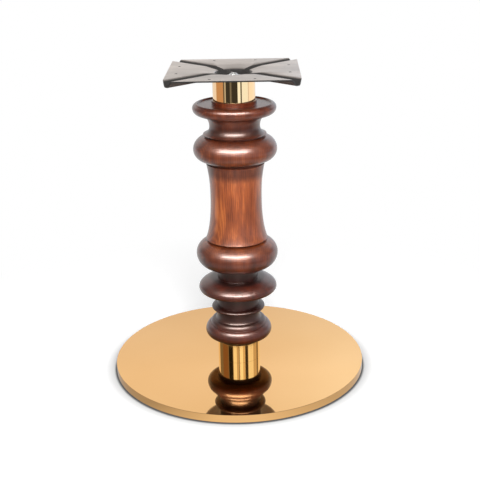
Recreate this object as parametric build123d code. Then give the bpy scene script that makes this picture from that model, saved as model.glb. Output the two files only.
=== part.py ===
from build123d import *
from math import atan2, cos, hypot, pi, radians, sin, tan
import os

# Pedestal table base: a polished round foot, two plain sleeves and a turned wooden
# column on a steel core tube, closed at the top by a pressed steel plate. One long
# bolt draws the plate, the core tube and the foot's hub together.
# Millimetres, +Z up, the floor at Z = 0 and the column's axis on Z.

# Driving sizes of the whole
overall_height = 720.0
base_diameter = 600.0
base_height = 20.0
lower_sleeve_diameter = 102.0
lower_sleeve_length = 46.0
upper_sleeve_diameter = 96.0
upper_sleeve_length = 54.0
plate_side = 292.0

# Foot: cover, weight plate and glides
cover_sheet = 1.5
cover_rim_lift = 2.0
cover_edge_radius = 1.8
cover_centre_hole = 14.0
weight_thickness = 10.0
weight_clearance = 0.5
weight_chamfer = 1.0
glide_count = 4
glide_inset = 60.0
glide_foot_diameter = 30.0
glide_neck_diameter = 17.0
glide_flat_height = 3.0
glide_edge_chamfer = 1.0
glide_clearance = 0.2
glide_socket_depth = 5.0
stud_diameter = 8.0
stud_end_gap = 0.5

# Hub on the foot and its screws
hub_thickness = 14.0
hub_spigot_length = 18.0
screw_count = 4
screw_circle = 70.0
screw_diameter = 8.0
screw_head_diameter = 16.0
screw_length = 20.0
screw_socket_across = 5.0
screw_socket_depth = 2.6
tapped_end_gap = 1.0

# Sleeves, core tube and the discs that keep them on one axis
sleeve_wall = 1.5
core_diameter = 48.3
core_wall = 2.6
push_fit = 0.2
thread_fit = 0.05
through_fit = 0.5
spigot_flange = 12.0
spigot_boss_diameter = 70.0
spigot_boss_length = 12.0
top_hub_thickness = 10.0
top_hub_spigot_length = 18.0

# Turned column: the height of each member, from the foot up
column_bore_fit = 0.85
end_ring_height = 9.4
foot_bead_rise = 15.6
foot_bead_fall = 18.0
ogee_round_height = 12.0
ogee_cove_height = 16.0
ring_neck_height = 8.0
small_ring_height = 12.0
low_neck_height = 29.0
saucer_cove_height = 7.0
saucer_rise = 10.6
saucer_fall = 22.6
mid_neck_height = 26.0
mid_fillet_height = 7.0
lower_torus_rise = 31.0
lower_torus_fall = 30.5
lower_groove_height = 5.0
upper_groove_height = 7.5
upper_torus_rise = 25.5
upper_torus_fall = 30.0
neck_groove_height = 5.0
flare_height = 17.7
cove_height = 27.5
collar_rise = 14.7
collar_fall = 10.5

# Turned column: the radius of each member
foot_ring_radius = 52.5
foot_face_radius = 60.0
foot_bead_radius = 79.5
foot_crease_radius = 67.0
ogee_waist_radius = 57.0
low_neck_radius = 51.0
small_ring_radius = 63.5
saucer_under_radius = 80.0
saucer_radius = 92.7
mid_neck_radius = 48.0
mid_fillet_radius = 64.0
torus_radius = 96.0
torus_foot_radius = 70.0
groove_radius = 64.0
shaft_foot_radius = 72.6
shaft_waist_radius = 59.6
shaft_head_radius = 67.5
shaft_waist_share = 0.534
flare_radius = 72.5
cove_neck_radius = 57.5
cove_head_radius = 80.0
collar_radius = 95.0
collar_crest_radius = 83.0
collar_quirk_radius = 81.5
collar_quirk_depth = 3.0
head_ring_radius = 51.0

# Top plate: pressed sheet with four pads, an X of channels and a dish
plate_sheet = 3.0
plate_corner_radius = 26.0
channel_depth = 11.0
channel_mouth = 24.0
channel_floor = 10.0
dish_depth = 17.0
dish_floor_diameter = 74.0
dish_brink_diameter = 84.0
dish_brink_depth = 5.5
apron_diameter = 160.0
bend_radius = 3.0
mouth_ease = 8.0
mouth_run = 15.0
screw_hole_diameter = 6.5
screw_hole_edge = 22.0
screw_hole_spread = 96.0

# Tie bolt and its washer
bolt_diameter = 12.0
bolt_head_diameter = 21.0
bolt_head_height = 6.6
bolt_socket_across = 8.0
bolt_socket_depth = 4.0
bolt_end_lift = 4.0
bolt_clearance = 0.5
washer_diameter = 37.0
washer_thickness = 3.0

# Heights that follow from the sizes above
base_top = base_height
cover_under = base_top - cover_sheet
weight_under = cover_under - weight_thickness
hub_top = base_top + hub_thickness
column_foot = base_top + lower_sleeve_length
plate_top = overall_height
channel_under = plate_top - channel_depth - plate_sheet
dish_floor = plate_top - dish_depth
dish_under = dish_floor - plate_sheet
column_head = channel_under - upper_sleeve_length
core_head = dish_under - top_hub_thickness

# Radii that follow from the sizes above
base_radius = base_diameter / 2
weight_radius = base_radius - cover_sheet - weight_clearance
glide_circle = base_diameter - 2 * glide_inset
lower_sleeve_bore = lower_sleeve_diameter / 2 - sleeve_wall
upper_sleeve_bore = upper_sleeve_diameter / 2 - sleeve_wall
core_radius = core_diameter / 2
core_bore = core_radius - core_wall
column_bore = core_radius + column_bore_fit
spigot_boss_radius = spigot_boss_diameter / 2
stud_radius = stud_diameter / 2
screw_radius = screw_diameter / 2
bolt_radius = bolt_diameter / 2

# A cubic curve with handles this share of its box follows a quarter of an ellipse
ROUND = 0.5523

# How far a cutting solid runs past the faces that it opens
PAST = 1.0


def point(radius, height):
    """A point of a turned outline: out from the axis and up from the floor."""
    return Vector(radius, 0, height)


def turned(edges):
    """The solid that a closed outline sweeps round the axis."""
    return revolve(make_face(edges), axis=Axis.Z, revolution_arc=360)


def turned_polygon(points):
    """A turned solid with a straight-sided outline of (radius, height) points."""
    return turned(Polyline(*[point(*p) for p in points], close=True).edges())


def ring(inner, outer, low, high):
    """A plain ring about the axis; a disc where the inner radius is nothing."""
    return turned_polygon([(inner, low), (outer, low), (outer, high), (inner, high)])


def cylinder(radius, low, high):
    """A plain round bar on the axis between two heights."""
    return Pos(0, 0, low) * extrude(Circle(radius), high - low)


def hexagon(across, low, high):
    """A six-sided bar on the axis, measured across its flats."""
    return Pos(0, 0, low) * extrude(RegularPolygon(across / 2, 6, major_radius=False), high - low)


def round_the_axis(count, circle, turn=0.0):
    """Places spaced evenly on a circle about the axis, given its diameter."""
    for number in range(count):
        angle = radians(turn) + 2 * pi * number / count
        yield Pos(circle / 2 * cos(angle), circle / 2 * sin(angle), 0)


class Outline:
    """A turned outline drawn from its lowest point upwards."""

    def __init__(self, radius, height):
        self.here = (radius, height)
        self.edges = []

    def line_to(self, radius, height):
        """A straight stretch to a point."""
        self.edges.append(Line(point(*self.here), point(radius, height)))
        self.here = (radius, height)

    def step_to(self, radius):
        """A level step in or out."""
        self.line_to(radius, self.here[1])

    def rise(self, height):
        """An upright stretch of the given height."""
        self.line_to(self.here[0], self.here[1] + height)

    def quarter(self, radius, rise, level_first):
        """A quarter of an ellipse to a radius and up by a rise, leaving level or upright."""
        r0, z0 = self.here
        r1, z1 = radius, z0 + rise
        if level_first:
            handles = [(r0 + ROUND * (r1 - r0), z0), (r1, z1 - ROUND * (z1 - z0))]
        else:
            handles = [(r0, z0 + ROUND * (z1 - z0)), (r1 - ROUND * (r1 - r0), z1)]
        self.edges.append(Bezier(point(r0, z0), point(*handles[0]), point(*handles[1]), point(r1, z1)))
        self.here = (r1, z1)

    def bead(self, widest, rise, fall, top):
        """A round bead: out to its widest, then in again to its top radius."""
        self.quarter(widest, rise, level_first=True)
        self.quarter(top, fall, level_first=False)

    def sweep(self, radius, rise, leaving, arriving):
        """A cubic curve to a radius and up by a rise, each handle a step from its own end."""
        r0, z0 = self.here
        r1, z1 = radius, z0 + rise
        self.edges.append(Bezier(point(r0, z0), point(r0 + leaving[0], z0 + leaving[1]),
                                 point(r1 + arriving[0], z1 + arriving[1]), point(r1, z1)))
        self.here = (r1, z1)


# Foot

def base_cover():
    """Polished round cover, turned down at its rim."""
    inner_radius = base_radius - cover_sheet
    outline = Outline(cover_centre_hole / 2, cover_under)
    outline.step_to(inner_radius)
    outline.line_to(inner_radius, cover_rim_lift)
    outline.step_to(base_radius)
    outline.rise(base_top - cover_edge_radius - cover_rim_lift)
    outline.quarter(base_radius - cover_edge_radius, cover_edge_radius, level_first=False)
    outline.step_to(cover_centre_hole / 2)
    outline.line_to(cover_centre_hole / 2, cover_under)
    body = turned(outline.edges)
    hole = cylinder(screw_radius + through_fit, cover_under - PAST, base_top + PAST)
    for place in round_the_axis(screw_count, screw_circle):
        body -= place * hole
    return body


def screw_head_cone(margin):
    """The countersink of a hub screw, its mouth in the weight plate's underside."""
    mouth = screw_head_diameter / 2 + margin
    depth = mouth - screw_radius
    return turned_polygon([(0, weight_under), (mouth, weight_under), (screw_radius, weight_under + depth),
                           (0, weight_under + depth)])


def weight_plate():
    """Heavy steel disc under the cover, with countersunk and tapped holes."""
    body = turned_polygon([
        (0, weight_under), (weight_radius - weight_chamfer, weight_under),
        (weight_radius, weight_under + weight_chamfer), (weight_radius, cover_under), (0, cover_under)])
    body -= cylinder(cover_centre_hole / 2, weight_under - PAST, cover_under + PAST)
    screw_hole = cylinder(screw_radius + through_fit, weight_under - PAST, cover_under + PAST)
    screw_hole += screw_head_cone(through_fit)
    for place in round_the_axis(screw_count, screw_circle):
        body -= place * screw_hole
    stud_hole = cylinder(stud_radius + thread_fit, weight_under - PAST, cover_under + PAST)
    for place in round_the_axis(glide_count, glide_circle, turn=45):
        body -= place * stud_hole
    return body


def hub_screw():
    """Countersunk socket screw, its head flush with the weight plate's underside."""
    body = cylinder(screw_radius, weight_under, weight_under + screw_length) + screw_head_cone(0)
    return body - hexagon(screw_socket_across, weight_under - PAST, weight_under + screw_socket_depth)


def hub_screws():
    """The screws that hold the hub and the cover to the weight plate."""
    return Compound([place * hub_screw() for place in round_the_axis(screw_count, screw_circle)])


def base_hub():
    """Turned steel hub: locates the lower sleeve and the core tube, takes the bolt."""
    spigot_radius = core_bore - push_fit
    flange_radius = lower_sleeve_bore - push_fit
    body = cylinder(flange_radius, base_top, hub_top)
    body += cylinder(spigot_radius, hub_top, hub_top + hub_spigot_length)
    body -= cylinder(bolt_radius + thread_fit, base_top - PAST, hub_top + hub_spigot_length + PAST)
    tapped_depth = weight_under + screw_length + tapped_end_gap
    tapped = cylinder(screw_radius + thread_fit, base_top - PAST, tapped_depth)
    for place in round_the_axis(screw_count, screw_circle):
        body -= place * tapped
    return body


def glide_foot():
    """Moulded foot of a glide, with a blind socket for its stud."""
    top = weight_under - glide_clearance
    radius = glide_foot_diameter / 2
    body = turned_polygon([
        (0, 0), (radius - glide_edge_chamfer, 0), (radius, glide_edge_chamfer),
        (radius, glide_flat_height), (glide_neck_diameter / 2, top), (0, top)])
    return body - cylinder(stud_radius + thread_fit, top - glide_socket_depth, top + PAST)


def glide_stud():
    """Threaded stud of a glide, screwed up into the weight plate."""
    low = weight_under - glide_clearance - glide_socket_depth
    return cylinder(stud_radius, low, cover_under - stud_end_gap)


def glides(shape):
    """One shape repeated at each glide."""
    return Compound([place * shape for place in round_the_axis(glide_count, glide_circle, turn=45)])


# Sleeves, core and centring discs

def lower_sleeve():
    """Polished tube between the foot and the wood."""
    return ring(lower_sleeve_bore, lower_sleeve_diameter / 2, base_top, column_foot)


def upper_sleeve():
    """Polished tube between the wood and the top plate's channels."""
    return ring(upper_sleeve_bore, upper_sleeve_diameter / 2, column_head, channel_under)


def core_tube():
    """Steel tube that carries the load inside the wood."""
    return ring(core_bore, core_radius, hub_top, core_head)


def lower_spigot():
    """Disc with a boss: lines up the lower sleeve and the wood."""
    flange_radius = lower_sleeve_bore - push_fit
    bore = core_radius + push_fit
    body = ring(bore, flange_radius, column_foot - spigot_flange, column_foot)
    return body + ring(bore, spigot_boss_radius, column_foot, column_foot + spigot_boss_length)


def upper_spigot():
    """Disc with a boss: lines up the wood and the upper sleeve."""
    flange_radius = upper_sleeve_bore - push_fit
    bore = core_radius + push_fit
    body = ring(bore, flange_radius, column_head, column_head + spigot_flange)
    return body + ring(bore, spigot_boss_radius, column_head - spigot_boss_length, column_head)


def top_hub():
    """Turned disc on the core tube's head that carries the dish."""
    body = cylinder(upper_sleeve_bore - push_fit, core_head, dish_under)
    body += cylinder(core_bore - push_fit, core_head - top_hub_spigot_length, core_head)
    through = cylinder(bolt_radius + bolt_clearance, core_head - top_hub_spigot_length - PAST, dish_under + PAST)
    return body - through


# Turned column

def column_outline():
    """The outside of the turned wood, from its foot to its head."""
    shaft_height = column_head - column_foot - (
        2 * end_ring_height + foot_bead_rise + foot_bead_fall + ogee_round_height + ogee_cove_height
        + ring_neck_height + small_ring_height + low_neck_height + saucer_cove_height
        + saucer_rise + saucer_fall + mid_neck_height + mid_fillet_height
        + lower_torus_rise + lower_torus_fall + lower_groove_height + upper_groove_height
        + upper_torus_rise + upper_torus_fall + neck_groove_height + flare_height
        + cove_height + collar_rise + collar_fall - collar_quirk_depth)
    line = Outline(foot_ring_radius, column_foot)
    line.rise(end_ring_height)

    # Foot bead, ogee and the thin ring above it
    line.step_to(foot_face_radius)
    line.bead(foot_bead_radius, foot_bead_rise, foot_bead_fall, foot_crease_radius)
    line.quarter(ogee_waist_radius, ogee_round_height, level_first=False)
    line.quarter(low_neck_radius, ogee_cove_height, level_first=True)
    line.rise(ring_neck_height)
    line.bead(small_ring_radius, small_ring_height / 2, small_ring_height / 2, low_neck_radius)
    line.rise(low_neck_height)

    # Saucer and the neck above it
    line.quarter(saucer_under_radius, saucer_cove_height, level_first=False)
    line.bead(saucer_radius, saucer_rise, saucer_fall, mid_neck_radius)
    line.rise(mid_neck_height)
    line.step_to(mid_fillet_radius)
    line.rise(mid_fillet_height)

    # Lower torus
    line.step_to(torus_foot_radius)
    line.bead(torus_radius, lower_torus_rise, lower_torus_fall, groove_radius)
    line.rise(lower_groove_height)

    # Shaft, waisted between its flared foot and its head
    below = shaft_waist_share * shaft_height
    above = shaft_height - below
    line.step_to(shaft_foot_radius)
    line.sweep(shaft_waist_radius, below, leaving=(-0.06 * below, 0.125 * below), arriving=(0, -0.54 * below))
    line.sweep(shaft_head_radius, above, leaving=(0, 0.31 * above), arriving=(-0.09 * above, -0.41 * above))
    line.step_to(groove_radius)
    line.rise(upper_groove_height)

    # Upper torus
    line.step_to(torus_foot_radius)
    line.bead(torus_radius, upper_torus_rise, upper_torus_fall, groove_radius)
    line.rise(neck_groove_height)

    # Flare, cove and collar
    line.step_to(flare_radius)
    line.quarter(cove_neck_radius, flare_height, level_first=True)
    line.quarter(cove_head_radius, cove_height, level_first=False)
    line.quarter(collar_radius, collar_rise, level_first=True)
    line.quarter(collar_crest_radius, collar_fall, level_first=False)
    line.line_to(collar_quirk_radius, line.here[1] - collar_quirk_depth)
    line.step_to(head_ring_radius)
    line.rise(end_ring_height)
    return line


def turned_column():
    """One turned length of wood, bored through and counterbored at both ends."""
    line = column_outline()
    counterbore = spigot_boss_radius + push_fit
    recess = spigot_boss_length + through_fit
    line.step_to(counterbore)
    line.line_to(counterbore, column_head - recess)
    line.step_to(column_bore)
    line.line_to(column_bore, column_foot + recess)
    line.step_to(counterbore)
    line.line_to(counterbore, column_foot)
    line.step_to(foot_ring_radius)
    return turned(line.edges)


# Top plate

def beside(path, offset):
    """A path moved square to itself, down and out by an offset, with its corners mitred."""
    bearings = [atan2(last[1] - first[1], last[0] - first[0]) for first, last in zip(path, path[1:])]
    bearings = [bearings[0]] + bearings + [bearings[-1]]
    moved = []
    for (radius, height), before, after in zip(path, bearings, bearings[1:]):
        halfway = (before + after) / 2
        step = offset / cos((after - before) / 2)
        moved.append((radius + step * sin(halfway), height - step * cos(halfway)))
    return moved


def corner_at(face, radius, height):
    """The corner of an outline that lies at a point."""
    return [v for v in face.vertices() if hypot(v.X - radius, v.Z - height) < 0.01]


def pressed_outline(path, offset):
    """Half of what a pressing cuts away above one face of the sheet.

    The path follows the sheet's top face outwards: along the floor, up the wall and out
    over its brink. The other face lies square to it by the sheet's offset, and each bend
    grows or shrinks by it, so the two faces stay parallel.
    """
    line = beside([(0, path[0][1])] + path, offset)
    reach, lip = line[-1]
    corners = line + [(reach, lip + plate_sheet), (0, lip + plate_sheet)]
    face = make_face(Polyline(*[point(*corner) for corner in corners], close=True).edges())
    face = fillet(corner_at(face, *line[1]), bend_radius + offset)
    return fillet(corner_at(face, *line[2]), bend_radius + plate_sheet - offset)


def channel_path():
    """Half a channel's section along the sheet's top face, easing off above the pads."""
    lip = mouth_run * tan(radians(mouth_ease))
    mouth = channel_mouth / 2
    return [(channel_floor / 2, -channel_depth), (mouth, 0), (mouth + mouth_run, lip)]


def dish_path():
    """Half the dish's section: floor, steep wall and the apron that leans up to the pads."""
    brink = dish_brink_diameter / 2
    lean = dish_brink_depth / (apron_diameter / 2 - brink)
    outside = apron_diameter / 2 + mouth_run
    return [(dish_floor_diameter / 2, -dish_depth), (brink, -dish_brink_depth), (outside, mouth_run * lean)]


def pressed_block(side, top, offset):
    """What lies under one face of the pressed sheet, down to a level below the dish."""
    bottom = -dish_depth - plate_sheet - PAST
    block = Pos(0, 0, bottom) * extrude(RectangleRounded(side, side, plate_corner_radius), top - bottom)
    half = pressed_outline(channel_path(), offset)
    channel = extrude(half + mirror(half, about=Plane.YZ), amount=side, both=True)
    dish = revolve(pressed_outline(dish_path(), offset), axis=Axis.Z, revolution_arc=360)
    return block - dish - Rot(0, 0, 45) * channel - Rot(0, 0, -45) * channel


def top_plate():
    """Square plate pressed from one sheet, four pads standing above channels and dish."""
    sheet = pressed_block(plate_side, 0, 0)
    sheet -= pressed_block(plate_side + 2 * PAST, -plate_sheet, plate_sheet)
    along = screw_hole_spread / 2
    across = plate_side / 2 - screw_hole_edge
    hole = cylinder(screw_hole_diameter / 2, -plate_sheet - PAST, PAST)
    for x, y in [(across, along), (along, across)]:
        for side_x in (-1, 1):
            for side_y in (-1, 1):
                sheet -= Pos(side_x * x, side_y * y, 0) * hole
    sheet -= cylinder(bolt_radius + bolt_clearance, -dish_depth - plate_sheet - PAST, PAST)
    return Pos(0, 0, plate_top) * sheet


# Tie bolt

def top_washer():
    """Wide washer on the dish's floor."""
    return ring(bolt_radius + bolt_clearance, washer_diameter / 2, dish_floor, dish_floor + washer_thickness)


def tie_bolt():
    """Long bolt with a domed socket head, from the dish down into the hub."""
    seat = dish_floor + washer_thickness
    outline = Outline(bolt_radius, base_top + bolt_end_lift)
    outline.line_to(bolt_radius, seat)
    outline.step_to(bolt_head_diameter / 2)
    outline.quarter(0, bolt_head_height, level_first=False)
    outline.line_to(0, base_top + bolt_end_lift)
    outline.step_to(bolt_radius)
    top = seat + bolt_head_height
    return turned(outline.edges) - hexagon(bolt_socket_across, top - bolt_socket_depth, top + PAST)


NODES = {
    "base_cover": base_cover,
    "weight_plate": weight_plate,
    "hub_screws": hub_screws,
    "base_hub": base_hub,
    "glide_feet": lambda: glides(glide_foot()),
    "glide_studs": lambda: glides(glide_stud()),
    "lower_sleeve": lower_sleeve,
    "lower_spigot": lower_spigot,
    "turned_column": turned_column,
    "core_tube": core_tube,
    "upper_spigot": upper_spigot,
    "upper_sleeve": upper_sleeve,
    "top_hub": top_hub,
    "top_plate": top_plate,
    "top_washer": top_washer,
    "tie_bolt": tie_bolt,
}

os.makedirs("parts", exist_ok=True)
for name, make in NODES.items():
    export_step(make(), f"parts/{name}.step")
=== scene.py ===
"""Looks of a pedestal table base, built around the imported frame.

A polished round foot, a turned and varnished column between two gold sleeves, and a
pressed steel top plate held down by one long bolt. Metres, the floor at Z = 0 and the
column's axis on Z.
"""

import logging
import math
from dataclasses import dataclass
from enum import Enum

import bmesh
import bpy
from mathutils import Matrix, Vector


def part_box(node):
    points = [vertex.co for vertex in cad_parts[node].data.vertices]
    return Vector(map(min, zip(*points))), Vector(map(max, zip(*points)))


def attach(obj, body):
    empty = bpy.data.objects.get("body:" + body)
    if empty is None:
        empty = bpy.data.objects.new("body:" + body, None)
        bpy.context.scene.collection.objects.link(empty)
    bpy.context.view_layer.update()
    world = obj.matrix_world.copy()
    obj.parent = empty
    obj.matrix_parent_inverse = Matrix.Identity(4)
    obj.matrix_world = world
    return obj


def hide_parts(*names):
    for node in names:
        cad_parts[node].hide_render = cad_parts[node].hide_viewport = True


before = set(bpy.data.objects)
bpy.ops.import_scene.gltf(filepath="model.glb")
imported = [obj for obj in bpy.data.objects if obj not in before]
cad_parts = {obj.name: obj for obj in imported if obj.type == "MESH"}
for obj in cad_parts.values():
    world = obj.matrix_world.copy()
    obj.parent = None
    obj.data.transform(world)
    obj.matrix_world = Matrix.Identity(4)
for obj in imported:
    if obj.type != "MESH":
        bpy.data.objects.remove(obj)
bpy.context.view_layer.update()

MM = 0.001
BODY = "root"
MERGE_DISTANCE = 0.001 * MM
log = logging.getLogger("table_base")

Colour = tuple[float, float, float, float]
Pair = tuple[float, float]
Outline2D = list[Pair]
Socket = bpy.types.NodeSocket
Stripe = tuple[str, float, float, float, Colour]

EVEN = (1.0, 1.0, 1.0)
WHITE: Colour = (1.0, 1.0, 1.0, 1.0)
BROWN: Colour = (1.0, 0.62, 0.40, 1.0)
PALE: Colour = (1.0, 1.18, 1.45, 1.0)
ROSE: Colour = (1.0, 1.0, 1.15, 1.0)


class Slot(Enum):
    """The record's material slots."""

    GOLD = "gold_mirror"
    WOOD = "stained_wood"
    PLATE = "plate_steel"
    ZINC = "zinc_steel"
    STEEL = "mild_steel"
    PLASTIC = "black_plastic"


# Node helpers

class Wiring:
    """Adds nodes to one tree and joins them."""

    def __init__(self, tree: bpy.types.NodeTree) -> None:
        """Keep the tree that the nodes go into."""
        self.tree = tree

    def add(self, kind: str, inputs: dict | None = None, **settings: object) -> bpy.types.Node:
        """Add one node.

        Args:
            kind: the node's type name.
            inputs: values or sockets, by input name or number.
            settings: properties that are set before the inputs.

        Returns:
            The new node.
        """
        node = self.tree.nodes.new(kind)
        for name, value in settings.items():
            setattr(node, name, value)
        for key, value in (inputs or {}).items():
            self.feed(node.inputs[key], value)
        return node

    def feed(self, socket: Socket, value: object) -> None:
        """Join a socket to another, or set its own value."""
        if isinstance(value, Socket):
            self.tree.links.new(value, socket)
        else:
            socket.default_value = value

    def calc(self, kind: str, a: object, b: object = 0.0) -> Socket:
        """The result of one Math node on two numbers or sockets."""
        return self.add("ShaderNodeMath", {0: a, 1: b}, operation=kind).outputs[0]

    def times(self, a: object, b: object) -> Socket:
        """The product of two numbers or sockets."""
        return self.calc("MULTIPLY", a, b)

    def radius(self, axes: object) -> Socket:
        """The distance from the Z axis of a vector given by its parts."""
        return self.length(self.add("ShaderNodeCombineXYZ", {0: axes[0], 1: axes[1]}).outputs[0])

    def place(self) -> Socket:
        """The object's own coordinates."""
        return self.add("ShaderNodeTexCoord").outputs["Object"]

    def axes(self, vector: object) -> bpy.types.NodeOutputs:
        """A vector's three parts."""
        return self.add("ShaderNodeSeparateXYZ", {0: vector}).outputs

    def length(self, vector: object) -> Socket:
        """A vector's length."""
        return self.add("ShaderNodeVectorMath", {0: vector}, operation="LENGTH").outputs["Value"]

    def spread(self, value: object, low: float, high: float,
               to_low: float = 0.0, to_high: float = 1.0) -> Socket:
        """A value's stretch between two limits, moved to two others."""
        node = self.add("ShaderNodeMapRange", {"Value": value, "From Min": low, "From Max": high,
                                               "To Min": to_low, "To Max": to_high})
        return node.outputs[0]

    def blend(self, share: object, first: object, second: object,
              kind: str = "MIX") -> Socket:
        """Two colours mixed by a share."""
        node = self.add("ShaderNodeMix", {0: share, 6: first, 7: second}, data_type="RGBA", blend_type=kind)
        return node.outputs[2]

    def ramp(self, value: object, stops: list[tuple[float, Colour]]) -> Socket:
        """A colour looked up on a ramp."""
        node = self.add("ShaderNodeValToRGB", {0: value})
        band = node.color_ramp
        while len(band.elements) < len(stops):
            band.elements.new(0.5)
        for element, (position, colour) in zip(band.elements, stops):
            element.position = position
            element.color = colour
        return node.outputs[0]

    def seen(self) -> Socket:
        """One where the camera looks, straight or by mirrors, and nothing where light is gathered."""
        rays = self.add("ShaderNodeLightPath")
        direct = self.calc("MAXIMUM", rays.outputs["Is Camera Ray"], rays.outputs["Is Glossy Ray"])
        direct = self.calc("MAXIMUM", direct, rays.outputs["Is Transmission Ray"])
        gathered = self.calc("MINIMUM", rays.outputs["Diffuse Depth"], 1.0)
        return self.times(direct, self.calc("SUBTRACT", 1.0, gathered))

    def bump(self, height: object, strength: float, distance: float) -> Socket:
        """A normal bent by a height."""
        inputs = {"Height": height, "Strength": strength, "Distance": distance}
        return self.add("ShaderNodeBump", inputs).outputs[0]


def new_object(name: str, data: bpy.types.ID) -> bpy.types.Object:
    """An object in the scene that shows some data."""
    made = bpy.data.objects.new(name, data)
    bpy.context.scene.collection.objects.link(made)
    return made


def new_material(name: str) -> tuple[bpy.types.Material, Wiring, bpy.types.Node]:
    """An empty node material.

    Args:
        name: the material's name.

    Returns:
        The material, the wiring of its tree and its output node.
    """
    material = bpy.data.materials.new(name)
    material.use_nodes = True
    material.node_tree.nodes.clear()
    wires = Wiring(material.node_tree)
    return material, wires, wires.add("ShaderNodeOutputMaterial")


# Finishes

@dataclass(frozen=True)
class Grain:
    """One layer of noise in a finish: its stretch along the axes, scale, detail and roughness."""

    stretch: tuple[float, float, float]
    scale: float
    detail: float = 3.0
    roughness: float = 0.5

    def at(self, wires: Wiring, place: object) -> Socket:
        """The layer's value, between 0 and 1, at a place."""
        moved = wires.add("ShaderNodeMapping", {"Vector": place, "Scale": self.stretch}).outputs[0]
        node = wires.add("ShaderNodeTexNoise", {"Vector": moved, "Scale": self.scale, "Detail": self.detail,
                                                "Roughness": self.roughness})
        return node.outputs["Fac"]


class Finish:
    """A finish in one Principled shader, which reads the piece's own coordinates."""

    def material(self, name: str = "") -> bpy.types.Material:
        """Build the finish, named after its slot if it has no name of its own."""
        made, wires, out = new_material(name or self.slot.value)
        shader = wires.add("ShaderNodeBsdfPrincipled", self.inputs(wires, wires.place()))
        wires.feed(out.inputs["Surface"], shader.outputs[0])
        return made


@dataclass(frozen=True)
class GoldMirror(Finish):
    """Gold-coloured metal, polished to a mirror."""

    slot: Slot = Slot.GOLD
    colour: Colour = (0.89, 0.52, 0.215, 1.0)
    deep_colour: Colour = (0.86, 0.49, 0.190, 1.0)
    polish: float = 0.025
    haze: float = 0.05
    wave_strength: float = 0.02
    wave_depth: float = 10 * MM
    tone_limits: Pair = (0.35, 0.65)
    wipe_limits: Pair = (0.35, 0.75)
    cloud: Grain = Grain(EVEN, 3.0, 2.0)
    wipe: Grain = Grain((1.0, 4.0, 1.0), 22.0, 4.0)

    def inputs(self, wires: Wiring, place: Socket) -> dict:
        """The shader's inputs."""
        cloud = self.cloud.at(wires, place)
        wipe = self.wipe.at(wires, place)
        tone = wires.blend(wires.spread(cloud, *self.tone_limits), self.deep_colour, self.colour)
        rough = wires.spread(wipe, *self.wipe_limits, self.polish, self.haze)
        normal = wires.bump(cloud, self.wave_strength, self.wave_depth)
        return {"Base Color": tone, "Metallic": 1.0, "Roughness": rough, "Normal": normal}


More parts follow.
